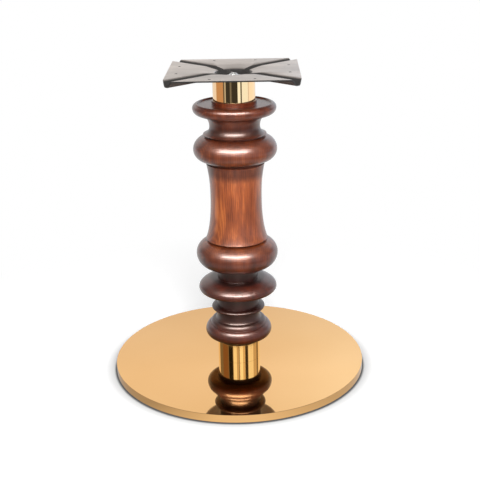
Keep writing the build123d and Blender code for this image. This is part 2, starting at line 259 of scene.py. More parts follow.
@dataclass(frozen=True)
class StainedWood(Finish):
    """Hardwood stained red-brown under a glossy varnish, its grain running up the column."""

    slot: Slot = Slot.WOOD
    dark: Colour = (0.100, 0.019, 0.004, 1.0)
    middle: Colour = (0.225, 0.047, 0.009, 1.0)
    light: Colour = (0.430, 0.120, 0.026, 1.0)
    pore: Colour = (0.035, 0.008, 0.003, 1.0)
    sheen: Colour = (1.0, 0.68, 0.56, 1.0)
    varnish: float = 0.8
    thin_varnish: float = 0.5
    varnish_roughness: float = 0.25
    # Painted shade: a dark colour multiplied in by height, most on the turnings.
    height_shade: Colour = (0.175, 0.068, 0.040, 1.0)
    # Painted shade for the grooves and necks.
    crease_shade: Colour = (0.26, 0.18, 0.15, 1.0)
    recess_radius: float = 62.0 * MM
    proud_radius: float = 70.0 * MM
    head_low: float = 590.0 * MM
    head_high: float = 615.0 * MM
    wood_roughness: float = 0.43
    wood_shine: float = 0.85
    varnish_index: float = 1.5
    grain_strength: float = 0.08
    grain_depth: float = 0.4 * MM
    wave_strength: float = 0.05
    wave_depth: float = 1.0 * MM
    ring_share: float = 0.07
    streak_share: float = 0.36
    fibre_share: float = 0.17
    cloud_share: float = 0.40
    drift: Grain = Grain((1.0, 1.0, 0.25), 14.0)
    streak: Grain = Grain((1.0, 1.0, 0.06), 100.0, 5.0, 0.6)
    fibre: Grain = Grain((1.0, 1.0, 0.03), 520.0, 4.0, 0.65)
    cloud: Grain = Grain((1.0, 1.0, 0.28), 34.0, 4.0, 0.6)
    tone_stops: tuple[float, float, float] = (0.38, 0.5, 0.63)
    pore_limits: Pair = (0.60, 0.70)
    pore_share: float = 0.5
    crease_shade_limits: Pair = (0.15, 0.4)
    pith: tuple[float, float, float] = (0.16, 0.11, 0.0)
    rings_per_metre: float = 1500.0
    ring_drift: float = 40.0
    shade_ramp_height: float = 700.0 * MM
    shade_blur: float = 20 * MM
    shade_shares: tuple[Pair, ...] = ((0.0, 1.0), (265.0, 1.0), (300.0, 0.85), (345.0, 0.2),
                                      (470.0, 0.1), (508.0, 0.72), (600.0, 0.85), (640.0, 0.85))

    def inputs(self, wires: Wiring, place: Socket) -> dict:
        """The shader's inputs."""
        rings = self.growth_rings(wires, place)
        streak = self.streak.at(wires, place)
        fibre = self.fibre.at(wires, place)
        cloud = self.cloud.at(wires, place)
        tone = 0.0
        for part, share in [(rings, self.ring_share), (streak, self.streak_share),
                            (fibre, self.fibre_share), (cloud, self.cloud_share)]:
            tone = wires.calc("ADD", tone, wires.times(part, share))
        colour = wires.ramp(tone, list(zip(self.tone_stops, (self.dark, self.middle, self.light))))
        pores = wires.spread(fibre, *self.pore_limits, 0.0, self.pore_share)
        colour = wires.blend(pores, colour, self.pore)
        height_shade_share = self.height_shade_share(wires, place, cloud)
        # Painted shade on the turnings, by height.
        colour = wires.blend(height_shade_share, colour, self.height_shade, "MULTIPLY")
        # Painted shade in the grooves and necks; the varnish is thinner there too.
        crease_shade_mask = self.crease_shade_share(wires, place, height_shade_share)
        colour = wires.blend(crease_shade_mask, colour, self.crease_shade, "MULTIPLY")
        varnish = wires.spread(crease_shade_mask, 0.0, 1.0, self.varnish, self.thin_varnish)
        normal = wires.bump(wires.calc("ADD", fibre, streak), self.grain_strength, self.grain_depth)
        wave = wires.bump(cloud, self.wave_strength, self.wave_depth)
        return {"Base Color": colour, "Roughness": self.wood_roughness,
                "Specular IOR Level": self.wood_shine, "Specular Tint": self.sheen,
                "Coat Weight": varnish, "Coat Roughness": self.varnish_roughness,
                "Coat IOR": self.varnish_index, "Normal": normal, "Coat Normal": wave}

    def height_shade_share(self, wires: Wiring, place: object, cloud: object) -> Socket:
        """How much painted shade darkens the wood at a height: most on the turnings, little on the shaft.
        """
        blur = wires.times(wires.calc("SUBTRACT", cloud, 0.5), self.shade_blur)
        height = wires.calc("ADD", wires.axes(place)[2], blur)
        stops = [(level * MM / self.shade_ramp_height, (share, share, share, 1.0))
                 for level, share in self.shade_shares]
        return wires.ramp(wires.calc("DIVIDE", height, self.shade_ramp_height), stops)

    def crease_shade_share(self, wires: Wiring, place: object, height_shade_share: object) -> Socket:
        """Painted shade in the grooves and necks below the head, but not on the shaft."""
        axes = wires.axes(place)
        crease_shade_mask = wires.spread(wires.radius(axes), self.recess_radius, self.proud_radius, 1.0, 0.0)
        below_head = wires.spread(axes[2], self.head_low, self.head_high, 1.0, 0.0)
        crease_shade_mask = wires.times(crease_shade_mask, below_head)
        return wires.times(crease_shade_mask, wires.spread(height_shade_share, *self.crease_shade_limits))

    def growth_rings(self, wires: Wiring, place: object) -> Socket:
        """Bands of early and late wood about a pith that lies well outside the column."""
        moved = wires.add("ShaderNodeVectorMath", {0: place, 1: self.pith}, operation="ADD").outputs[0]
        far = wires.radius(wires.axes(moved))
        drift = wires.times(self.drift.at(wires, place), self.ring_drift)
        bent = wires.calc("ADD", wires.times(far, self.rings_per_metre), drift)
        return wires.spread(wires.calc("SINE", bent), -1.0, 1.0)


@dataclass(frozen=True)
class PressedSteel(Finish):
    """Bare pressed steel sheet, bright on its pads; in its pressings below them, and on steep and downward
    faces, it is duller and carries painted shade.
    """

    slot: Slot = Slot.PLATE
    light: Colour = (0.98, 0.87, 0.79, 1.0)
    dark: Colour = (0.62, 0.55, 0.50, 1.0)
    # The scale colour is painted shade for the pressings and steep walls.
    scale: Colour = (0.250, 0.235, 0.225, 1.0)
    roughness: float = 0.34
    dull_roughness: float = 0.55
    pad_height: float = 714.4 * MM
    dull_height: float = 712.6 * MM
    level_slope: float = 0.80
    steep_slope: float = 0.55
    tone_limits: Pair = (0.36, 0.64)
    mill_limits: Pair = (0.3, 0.7)
    gloss_spread: Pair = (-0.05, 0.09)
    mill_share: float = 0.4
    mill_strength: float = 0.06
    mill_depth: float = 0.3 * MM
    mill: Grain = Grain((0.05, 1.0, 1.0), 500.0, 4.0, 0.6)
    cloud: Grain = Grain((0.4, 1.0, 1.0), 16.0, 4.0, 0.6)

    def inputs(self, wires: Wiring, place: Socket) -> dict:
        """The shader's inputs."""
        mill = self.mill.at(wires, place)
        cloud = self.cloud.at(wires, place)
        tone = wires.calc("ADD", wires.times(mill, self.mill_share),
                         wires.times(cloud, 1.0 - self.mill_share))
        colour = wires.blend(wires.spread(tone, *self.tone_limits), self.dark, self.light)
        # Painted shade: the pressings below the pads and every steep or downward face are darkened to the
        # scale colour, and made duller.
        upright = wires.axes(wires.add("ShaderNodeNewGeometry").outputs["Normal"])[2]
        walls = wires.spread(upright, self.steep_slope, self.level_slope, 1.0, 0.0)
        shaded_and_dull = wires.spread(wires.axes(place)[2], self.dull_height, self.pad_height, 1.0, 0.0)
        shaded_and_dull = wires.calc("MAXIMUM", shaded_and_dull, walls)
        colour = wires.blend(shaded_and_dull, colour, self.scale)
        low, high = self.gloss_spread
        rough = wires.spread(mill, *self.mill_limits, self.roughness + low, self.roughness + high)
        rough = wires.calc("MAXIMUM", rough, wires.times(shaded_and_dull, self.dull_roughness))
        normal = wires.bump(mill, self.mill_strength, self.mill_depth)
        return {"Base Color": colour, "Metallic": 1.0, "Roughness": rough, "Normal": normal}


@dataclass(frozen=True)
class PlainMetal(Finish):
    """Turned or plated steel with a little variation in tone and gloss."""

    slot: Slot
    light: Colour
    dark: Colour
    roughness: float
    cloud: Grain = Grain(EVEN, 90.0, 4.0, 0.6)
    tool: Grain = Grain((0.1, 0.1, 1.0), 900.0, 2.0)
    tone_limits: Pair = (0.35, 0.65)
    gloss_limits: Pair = (0.3, 0.7)
    gloss_factors: Pair = (0.8, 1.25)
    tool_strength: float = 0.05
    tool_depth: float = 0.2 * MM

    def inputs(self, wires: Wiring, place: Socket) -> dict:
        """The shader's inputs."""
        cloud = self.cloud.at(wires, place)
        colour = wires.blend(wires.spread(cloud, *self.tone_limits), self.dark, self.light)
        low, high = self.gloss_factors
        rough = wires.spread(cloud, *self.gloss_limits, self.roughness * low, self.roughness * high)
        normal = wires.bump(self.tool.at(wires, place), self.tool_strength, self.tool_depth)
        return {"Base Color": colour, "Metallic": 1.0, "Roughness": rough, "Normal": normal}


@dataclass(frozen=True)
class BlackPlastic(Finish):
    """Moulded black plastic with a fine grained skin."""

    slot: Slot = Slot.PLASTIC
    colour: Colour = (0.012, 0.012, 0.013, 1.0)
    worn: Colour = (0.03, 0.03, 0.031, 1.0)
    roughness: float = 0.5
    skin: Grain = Grain(EVEN, 1800.0, 2.0)
    cloud: Grain = Grain(EVEN, 120.0)
    tone_limits: Pair = (0.4, 0.7)
    gloss_limits: Pair = (0.3, 0.7)
    gloss_spread: Pair = (-0.08, 0.1)
    skin_strength: float = 0.15
    skin_depth: float = 0.1 * MM

    def inputs(self, wires: Wiring, place: Socket) -> dict:
        """The shader's inputs."""
        cloud = self.cloud.at(wires, place)
        colour = wires.blend(wires.spread(cloud, *self.tone_limits), self.colour, self.worn)
        low, high = self.gloss_spread
        rough = wires.spread(cloud, *self.gloss_limits, self.roughness + low, self.roughness + high)
        normal = wires.bump(self.skin.at(wires, place), self.skin_strength, self.skin_depth)
        return {"Base Color": colour, "Roughness": rough, "Normal": normal}


class Finishes:
    """Every finish of the object, built once."""

    def __init__(self) -> None:
        """Build the materials."""
        kinds = [
            GoldMirror(),
            StainedWood(),
            PressedSteel(),
            PlainMetal(Slot.ZINC, (0.97, 0.96, 0.94, 1.0), (0.86, 0.85, 0.83, 1.0), 0.34),
            PlainMetal(Slot.STEEL, (0.34, 0.34, 0.35, 1.0), (0.22, 0.22, 0.225, 1.0), 0.42),
            BlackPlastic(),
        ]
        self.made = {kind.slot: kind.material() for kind in kinds}
        # Each sleeve has its own copy of the gold, lighter for the lower and warmer for the upper, tinted
        # to how its reflections look: painted reflection tone.
        self.tube_golds = {
            "lower_sleeve": GoldMirror(colour=(0.97, 0.80, 0.47, 1.0),
                                       deep_colour=(0.95, 0.76, 0.42, 1.0)).material("lower_gold"),
            "upper_sleeve": GoldMirror(colour=(0.93, 0.65, 0.33, 1.0),
                                       deep_colour=(0.90, 0.60, 0.28, 1.0)).material("upper_gold"),
        }

    def dress_node(self, node: str, slot: Slot) -> None:
        """Put a finish on a CAD node's own material slots."""
        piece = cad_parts[node]
        for number in range(len(piece.material_slots)):
            piece.material_slots[number].material = self.made[slot]

    def dress(self, piece: bpy.types.Object, slot: Slot, *nodes: str,
              material: bpy.types.Material | None = None) -> bpy.types.Object:
        """Ride and dress a new piece, and hide the CAD nodes that it stands for.

        Args:
            piece: the finished object.
            slot: the record's slot that its finish comes from.
            nodes: the CAD nodes that it stands for.
            material: a finish of its own within the slot.

        Returns:
            The piece.
        """
        piece.data.materials.clear()
        piece.data.materials.append(material or self.made[slot])
        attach(piece, BODY)
        if nodes:
            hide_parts(*nodes)
        log.info("%s: %d faces, %s", piece.name, len(piece.data.polygons), slot.value)
        return piece


# Geometry trees

class Tree:
    """A geometry tree with named inputs, put on an object and then made a plain mesh."""

    def __init__(self, name: str, **kinds: str) -> None:
        """Start a tree with its geometry output and declare its inputs.

        Args:
            name: the tree's name.
            kinds: the kind of each input, by the input's name.
        """
        self.group = bpy.data.node_groups.new(name, "GeometryNodeTree")
        self.wires = Wiring(self.group)
        self.group.interface.new_socket("Geometry", in_out="OUTPUT", socket_type="NodeSocketGeometry")
        self.names = {}
        for key, kind in kinds.items():
            made = self.group.interface.new_socket(key, in_out="INPUT", socket_type="NodeSocket" + kind)
            self.names[key] = made.identifier
        self.given = self.wires.add("NodeGroupInput").outputs

    def close(self, geometry: Socket, material: Socket) -> None:
        """End the tree in real geometry that has its material."""
        real = self.wires.add("GeometryNodeRealizeInstances", {"Geometry": geometry})
        dressed = self.wires.add("GeometryNodeSetMaterial", {"Geometry": real.outputs[0],
                                                             "Material": material})
        self.wires.add("NodeGroupOutput", {0: dressed.outputs[0]})

    def run(self, name: str, **values: object) -> bpy.types.Object:
        """Make a plain mesh object from the tree.

        Args:
            name: the new object's name.
            values: the tree's inputs, by name.

        Returns:
            An object at the origin that has the result as its mesh.
        """
        piece = new_object(name, bpy.data.meshes.new(name))
        modifier = piece.modifiers.new("tree", "NODES")
        modifier.node_group = self.group
        for key, value in values.items():
            modifier[self.names[key]] = value
        graph = bpy.context.evaluated_depsgraph_get()
        mesh = bpy.data.meshes.new_from_object(piece.evaluated_get(graph))
        piece.modifiers.remove(modifier)
        piece.data = mesh
        mesh.name = name
        return piece


class TurnedTree(Tree):
    """Turns an outline about Z, as a lathe does."""

    def __init__(self) -> None:
        """Build the tree."""
        super().__init__("turned", Outline="Object", Segments="Int", Crease="Float", Material="Material")
        wires, given = self.wires, self.given
        outline = wires.add("GeometryNodeObjectInfo", {"Object": given["Outline"]}).outputs["Geometry"]
        size = wires.add("GeometryNodeAttributeDomainSize", {"Geometry": outline}, component="MESH")
        count = size.outputs["Point Count"]
        round_count = wires.calc("ADD", given["Segments"], 1.0)
        grid = wires.add("GeometryNodeMeshGrid", {"Vertices X": round_count, "Vertices Y": count})
        number = wires.add("GeometryNodeInputIndex").outputs[0]
        column = wires.calc("FLOOR", wires.calc("DIVIDE", wires.calc("ADD", number, 0.5), count))
        row = wires.calc("SUBTRACT", number, wires.times(column, count))
        sample = wires.add("GeometryNodeSampleIndex", {"Geometry": outline, "Index": row},
                           data_type="FLOAT_VECTOR", domain="POINT")
        wires.feed(sample.inputs["Value"], wires.add("GeometryNodeInputPosition").outputs[0])
        radius, _, height = wires.axes(sample.outputs[0])
        angle = wires.times(wires.calc("DIVIDE", column, given["Segments"]), 2 * math.pi)
        around = wires.add("ShaderNodeCombineXYZ", {
            0: wires.times(radius, wires.calc("COSINE", angle)),
            1: wires.times(radius, wires.calc("SINE", angle)),
            2: height})
        shaped = wires.add("GeometryNodeSetPosition", {"Geometry": grid.outputs["Mesh"],
                                                       "Position": around.outputs[0]})
        closed = wires.add("GeometryNodeMergeByDistance", {"Geometry": shaped.outputs[0],
                                                           "Distance": MERGE_DISTANCE})
        fold = wires.add("GeometryNodeInputMeshEdgeAngle").outputs["Unsigned Angle"]
        sharp = wires.add("FunctionNodeCompare", {0: fold, 1: given["Crease"]},
                          data_type="FLOAT", operation="GREATER_THAN").outputs[0]
        creased = wires.add("GeometryNodeSetShadeSmooth", {
            "Geometry": closed.outputs[0], "Selection": sharp, "Shade Smooth": False}, domain="EDGE")
        self.close(creased.outputs[0], given["Material"])


class RoundTheAxisTree(Tree):
    """Repeats a piece on a circle about Z."""

    def __init__(self) -> None:
        """Build the tree."""
        super().__init__("round_the_axis", Piece="Object", Count="Int", Circle="Float", Turn="Float",
                         Material="Material")
        wires, given = self.wires, self.given
        circle = wires.add("GeometryNodeMeshCircle", {"Vertices": given["Count"],
                                                      "Radius": given["Circle"]})
        turn = wires.add("ShaderNodeCombineXYZ", {2: given["Turn"]})
        turned = wires.add("GeometryNodeTransform", {"Geometry": circle.outputs[0],
                                                     "Rotation": turn.outputs[0]})
        piece = wires.add("GeometryNodeObjectInfo", {"Object": given["Piece"]}).outputs["Geometry"]
        spread = wires.add("GeometryNodeInstanceOnPoints", {"Points": turned.outputs[0], "Instance": piece})
        self.close(spread.outputs[0], given["Material"])


# Outlines

class Outline:
    """A turned outline of radius and height, drawn from its lowest point upwards."""

    ease_share: float = 0.4
    ease_steps: int = 4

    def __init__(self, radius: float, height: float, steps: int = 12) -> None:
        """Start at a point, with a number of steps for each curve."""
        self.points: Outline2D = [(radius, height)]
        self.steps = steps

    @property
    def here(self) -> Pair:
        """The last point."""
        return self.points[-1]

    def line_to(self, radius: float, height: float) -> None:
        """A straight stretch to a point."""
        self.points.append((radius, height))

    def step_to(self, radius: float) -> None:
        """A level step in or out."""
        self.line_to(radius, self.here[1])

    def rise(self, height: float) -> None:
        """An upright stretch."""
        self.line_to(self.here[0], self.here[1] + height)

    def quarter(self, radius: float, rise: float, level_first: bool) -> None:
        """A quarter of an ellipse to a radius and up by a rise, leaving level or upright."""
        r0, z0 = self.here
        for step in range(1, self.steps + 1):
            angle = math.pi / 2 * step / self.steps
            if level_first:
                self.line_to(r0 + (radius - r0) * math.sin(angle), z0 + rise * (1 - math.cos(angle)))
            else:
                self.line_to(r0 + (radius - r0) * (1 - math.cos(angle)), z0 + rise * math.sin(angle))

    def bead(self, widest: float, rise: float, fall: float, top: float) -> None:
        """A round bead: out to its widest, then in again to its top radius."""
        self.quarter(widest, rise, level_first=True)
        self.quarter(top, fall, level_first=False)

    def sweep(self, radius: float, rise: float, leaving: Pair, arriving: Pair) -> None:
        """A cubic curve up to a radius.

        Args:
            radius: where the curve ends.
            rise: how far up it ends.
            leaving: the first handle, as a step out and up from the start.
            arriving: the second handle, as a step out and up from the end.
        """
        r0, z0 = self.here
        r3, z3 = radius, z0 + rise
        r1, z1 = r0 + leaving[0], z0 + leaving[1]
        r2, z2 = r3 + arriving[0], z3 + arriving[1]
        for step in range(1, 2 * self.steps + 1):
            t = step / (2 * self.steps)
            a, b, c, d = (1 - t) ** 3, 3 * t * (1 - t) ** 2, 3 * t * t * (1 - t), t ** 3
            self.line_to(a * r0 + b * r1 + c * r2 + d * r3, a * z0 + b * z1 + c * z2 + d * z3)

    def softened(self, radius: float, limit: float = 25.0) -> Outline2D:
        """The closed outline with each sharp corner eased by a small round.

        Args:
            radius: how far the round reaches along the two sides of a corner.
            limit: the turn in degrees past which a corner is sharp.

        Returns:
            The points of the eased outline, its first point repeated at the end.
        """
        points = [Vector(p) for p in self.points]
        count = len(points)
        eased: list[Vector] = []
        for i, corner in enumerate(points):
            before = points[i - 1] - corner
            after = points[(i + 1) % count] - corner
            turn = 180 - math.degrees(before.angle(after, math.pi))
            if turn < limit or corner.x < MM:
                eased.append(corner)
                continue
            reach = min(radius, self.ease_share * before.length, self.ease_share * after.length)
            margin = 2 * reach
            start = corner + before.normalized() * reach
            end = corner + after.normalized() * reach
            if before.length > 2 * margin:
                eased.append(corner + before.normalized() * margin)
            for step in range(self.ease_steps + 1):
                t = step / self.ease_steps
                eased.append(start * (1 - t) ** 2 + corner * 2 * t * (1 - t) + end * t * t)
            if after.length > 2 * margin:
                eased.append(corner + after.normalized() * margin)
        return [(p.x, p.y) for p in eased] + [(eased[0].x, eased[0].y)]


class Lathe:
    """Turns outlines into mesh pieces."""

    def __init__(self) -> None:
        """Build the tree that does the turning."""
        self.tree = TurnedTree()

    def turn(self, name: str, outline: Outline2D, material: bpy.types.Material,
             segments: int, crease: float = 40.0) -> bpy.types.Object:
        """Turn a closed outline about Z.

        Args:
            name: the new object's name.
            outline: points of radius and height, the first repeated at the end.
            material: what the piece is made of.
            segments: how many facets go round.
            crease: the fold in degrees past which an edge stays sharp.

        Returns:
            The turned object.
        """
        mesh = bpy.data.meshes.new(name + "_outline")
        edges = [(i, i + 1) for i in range(len(outline) - 1)]
        mesh.from_pydata([(r, 0.0, z) for r, z in outline], edges, [])
        pattern = new_object(name + "_outline", mesh)
        piece = self.tree.run(name, Outline=pattern, Segments=segments, Crease=math.radians(crease),
                              Material=material)
        bpy.data.objects.remove(pattern)
        return piece


def smoothed_copy(node: str, name: str, crease: float = 35.0) -> bpy.types.Object:
    """A merged copy of a CAD node that shades smoothly between its sharp edges.

    Args:
        node: the CAD node.
        name: the copy's name.
        crease: the fold in degrees past which an edge stays sharp.

    Returns:
        The copy, at the origin.
    """
    mesh = bpy.data.meshes.new(name)
    work = bmesh.new()
    work.from_mesh(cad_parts[node].data)
    bmesh.ops.remove_doubles(work, verts=work.verts, dist=MERGE_DISTANCE)
    for face in work.faces:
        face.smooth = True
    for edge in work.edges:
        edge.smooth = edge.is_manifold and edge.calc_face_angle(0.0) < math.radians(crease)
    work.to_mesh(mesh)
    work.free()
    for extra in [a.name for a in mesh.attributes if a.name == "custom_normal"]:
        mesh.attributes.remove(mesh.attributes[extra])
    return new_object(name, mesh)


# Sub-assemblies

@dataclass
class Foot:
    """Polished cover on a heavy plate, with its hub, screws and glides."""

    cover_sheet: float = 1.5 * MM
    rim_lift: float = 2.0 * MM
    edge_radius: float = 0.6 * MM
    edge_margin: float = 1.0 * MM
    corner_ease: float = 0.25 * MM
    centre_hole: float = 7.0 * MM
    glide_radius: float = 15.0 * MM
    glide_neck_radius: float = 8.5 * MM
    glide_edge: float = 1.0 * MM
    glide_flat: float = 3.0 * MM
    glide_ease: float = 0.3 * MM
    glide_count: int = 4
    glide_bearing: float = 45.0
    stud_hole: float = 4.05 * MM
    stud_depth: float = 5.0 * MM

    def build(self, lathe: Lathe, finishes: Finishes) -> None:
        """Build the cover and the glides and dress the rest."""
        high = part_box("base_cover")[1]
        radius, top = high.x, high.z
        under = top - self.cover_sheet
        line = Outline(self.centre_hole, under, steps=8)
        line.step_to(radius - self.cover_sheet)
        line.line_to(radius - self.cover_sheet, self.rim_lift)
        line.step_to(radius)
        line.line_to(radius, top - self.edge_radius - self.edge_margin)
        line.rise(self.edge_margin)
        line.quarter(radius - self.edge_radius, self.edge_radius, level_first=False)
        line.step_to(radius - self.edge_radius - self.edge_margin)
        line.step_to(self.centre_hole)
        gold = finishes.made[Slot.GOLD]
        cover = lathe.turn("polished_cover", line.softened(self.corner_ease), gold, segments=384)
        finishes.dress(cover, Slot.GOLD, "base_cover")
        self.build_glides(lathe, finishes)
        for node, slot in [("weight_plate", Slot.STEEL), ("base_hub", Slot.STEEL),
                           ("hub_screws", Slot.ZINC), ("glide_studs", Slot.ZINC)]:
            finishes.dress_node(node, slot)

    def build_glides(self, lathe: Lathe, finishes: Finishes) -> None:
        """Turn one moulded glide with a blind hole for its stud, and repeat it."""
        low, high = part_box("glide_feet")
        line = Outline(0.0, low.z, steps=4)
        line.step_to(self.glide_radius - self.glide_edge)
        line.quarter(self.glide_radius, self.glide_edge, level_first=True)
        line.line_to(self.glide_radius, low.z + self.glide_flat)
        line.line_to(self.glide_neck_radius, high.z)
        line.step_to(self.stud_hole)
        line.rise(-self.stud_depth)
        line.step_to(0.0)
        plastic = finishes.made[Slot.PLASTIC]
        glide = lathe.turn("glide", line.softened(self.glide_ease)[:-1], plastic, segments=64)
        circle = (high.x - self.glide_radius) * math.sqrt(2)
        row = RoundTheAxisTree().run("moulded_glides", Piece=glide, Count=self.glide_count, Circle=circle,
                                     Turn=math.radians(self.glide_bearing), Material=plastic)
        bpy.data.objects.remove(glide)
        finishes.dress(row, Slot.PLASTIC, "glide_feet")


@dataclass
class TurnedColumn:
    """The turned wood: the height and radius of each member, from the foot up."""

    end_ring_height: float = 9.4 * MM
    foot_bead_rise: float = 15.6 * MM
    foot_bead_fall: float = 18.0 * MM
    ogee_round_height: float = 12.0 * MM
    ogee_cove_height: float = 16.0 * MM
    ring_neck_height: float = 8.0 * MM
    small_ring_height: float = 12.0 * MM
    low_neck_height: float = 29.0 * MM
    saucer_cove_height: float = 7.0 * MM
    saucer_rise: float = 10.6 * MM
    saucer_fall: float = 22.6 * MM
    mid_neck_height: float = 26.0 * MM
    mid_fillet_height: float = 7.0 * MM
    lower_torus_rise: float = 31.0 * MM
    lower_torus_fall: float = 30.5 * MM
    lower_groove_height: float = 5.0 * MM
    shaft_height: float = 181.5 * MM
    upper_groove_height: float = 7.5 * MM
    upper_torus_rise: float = 25.5 * MM
    upper_torus_fall: float = 30.0 * MM
    neck_groove_height: float = 5.0 * MM
    flare_height: float = 17.7 * MM
    cove_height: float = 27.5 * MM
    collar_rise: float = 14.7 * MM
    collar_fall: float = 10.5 * MM
    collar_quirk_depth: float = 3.0 * MM
    foot_ring_radius: float = 52.5 * MM
    foot_face_radius: float = 60.0 * MM
    foot_bead_radius: float = 79.5 * MM
    foot_crease_radius: float = 67.0 * MM
    ogee_waist_radius: float = 57.0 * MM
    low_neck_radius: float = 51.0 * MM
    small_ring_radius: float = 63.5 * MM
    saucer_under_radius: float = 80.0 * MM
    saucer_radius: float = 92.7 * MM
    mid_neck_radius: float = 48.0 * MM
    mid_fillet_radius: float = 64.0 * MM
    torus_radius: float = 96.0 * MM
    torus_foot_radius: float = 70.0 * MM
    groove_radius: float = 64.0 * MM
    shaft_foot_radius: float = 72.6 * MM
    shaft_waist_radius: float = 59.6 * MM
    shaft_head_radius: float = 67.5 * MM
    shaft_waist_share: float = 0.534
    shaft_foot_handle: Pair = (-0.06, 0.125)
    shaft_waist_handles: Pair = (-0.54, 0.31)
    shaft_head_handle: Pair = (-0.09, -0.41)
    flare_radius: float = 72.5 * MM
    cove_neck_radius: float = 57.5 * MM
    cove_head_radius: float = 80.0 * MM
    collar_radius: float = 95.0 * MM
    collar_crest_radius: float = 83.0 * MM
    collar_quirk_radius: float = 81.5 * MM
    head_ring_radius: float = 51.0 * MM
    bore_radius: float = 25.0 * MM
    edge_ease: float = 0.7 * MM

    def outline(self, foot: float) -> Outline2D:
        """The whole section, outside and bore.

        Args:
            foot: the height of the wood's lower end.

        Returns:
            The closed outline.
        """
        line = Outline(self.foot_ring_radius, foot)
        line.rise(self.end_ring_height)
        line.step_to(self.foot_face_radius)
        line.bead(self.foot_bead_radius, self.foot_bead_rise, self.foot_bead_fall, self.foot_crease_radius)
        line.quarter(self.ogee_waist_radius, self.ogee_round_height, level_first=False)
        line.quarter(self.low_neck_radius, self.ogee_cove_height, level_first=True)
        line.rise(self.ring_neck_height)
        half_ring = self.small_ring_height / 2
        line.bead(self.small_ring_radius, half_ring, half_ring, self.low_neck_radius)
        line.rise(self.low_neck_height)
        line.quarter(self.saucer_under_radius, self.saucer_cove_height, level_first=False)
        line.bead(self.saucer_radius, self.saucer_rise, self.saucer_fall, self.mid_neck_radius)
        line.rise(self.mid_neck_height)
        line.step_to(self.mid_fillet_radius)
        line.rise(self.mid_fillet_height)
        line.step_to(self.torus_foot_radius)
        line.bead(self.torus_radius, self.lower_torus_rise, self.lower_torus_fall, self.groove_radius)
        line.rise(self.lower_groove_height)
        self.draw_shaft(line)
        line.step_to(self.groove_radius)
        line.rise(self.upper_groove_height)
        line.step_to(self.torus_foot_radius)
        line.bead(self.torus_radius, self.upper_torus_rise, self.upper_torus_fall, self.groove_radius)
        line.rise(self.neck_groove_height)
        line.step_to(self.flare_radius)
        line.quarter(self.cove_neck_radius, self.flare_height, level_first=True)
        line.quarter(self.cove_head_radius, self.cove_height, level_first=False)
        line.quarter(self.collar_radius, self.collar_rise, level_first=True)
        line.quarter(self.collar_crest_radius, self.collar_fall, level_first=False)
        line.line_to(self.collar_quirk_radius, line.here[1] - self.collar_quirk_depth)
        line.step_to(self.head_ring_radius)
        line.rise(self.end_ring_height)
        line.step_to(self.bore_radius)
        line.line_to(self.bore_radius, foot)
        return line.softened(self.edge_ease)

    def draw_shaft(self, line: Outline) -> None:
        """The shaft, waisted between its flared foot and its head."""
        line.step_to(self.shaft_foot_radius)
        low = self.shaft_height * self.shaft_waist_share
        high = self.shaft_height - low
        foot, waist, head = self.shaft_foot_handle, self.shaft_waist_handles, self.shaft_head_handle
        line.sweep(self.shaft_waist_radius, low, (foot[0] * low, foot[1] * low), (0.0, waist[0] * low))
        line.sweep(self.shaft_head_radius, high, (0.0, waist[1] * high), (head[0] * high, head[1] * high))

    def build(self, lathe: Lathe, finishes: Finishes) -> None:
        """Turn the wood."""
        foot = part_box("turned_column")[0].z
        wood = lathe.turn("turned_wood", self.outline(foot), finishes.made[Slot.WOOD], segments=200)
        finishes.dress(wood, Slot.WOOD, "turned_column")


@dataclass
class Sleeves:
    """The two polished tubes and the steel inside them."""

    wall: float = 1.5 * MM
    edge_ease: float = 0.2 * MM

    def build(self, lathe: Lathe, finishes: Finishes) -> None:
        """Turn both tubes and dress the core."""
        for node, name in [("lower_sleeve", "lower_gold_sleeve"), ("upper_sleeve", "upper_gold_sleeve")]:
            low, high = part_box(node)
            line = Outline(high.x - self.wall, low.z)
            line.step_to(high.x)
            line.line_to(high.x, high.z)
            line.step_to(high.x - self.wall)
            gold = finishes.tube_golds[node]
            tube = lathe.turn(name, line.softened(self.edge_ease), gold, segments=192)
            finishes.dress(tube, Slot.GOLD, node, material=gold)
        for node in ("core_tube", "lower_spigot", "upper_spigot", "top_hub"):
            finishes.dress_node(node, Slot.STEEL)


@dataclass
class TopPlate:
    """Pressed plate with its washer and bolt."""

    def build(self, finishes: Finishes) -> None:
        """Dress the plate, the washer and the bolt."""
        for node, name, slot in [("top_plate", "pressed_plate", Slot.PLATE),
                                 ("top_washer", "dish_washer", Slot.ZINC),
                                 ("tie_bolt", "domed_bolt", Slot.ZINC)]:
            finishes.dress(smoothed_copy(node, name), slot, node)


# Studio

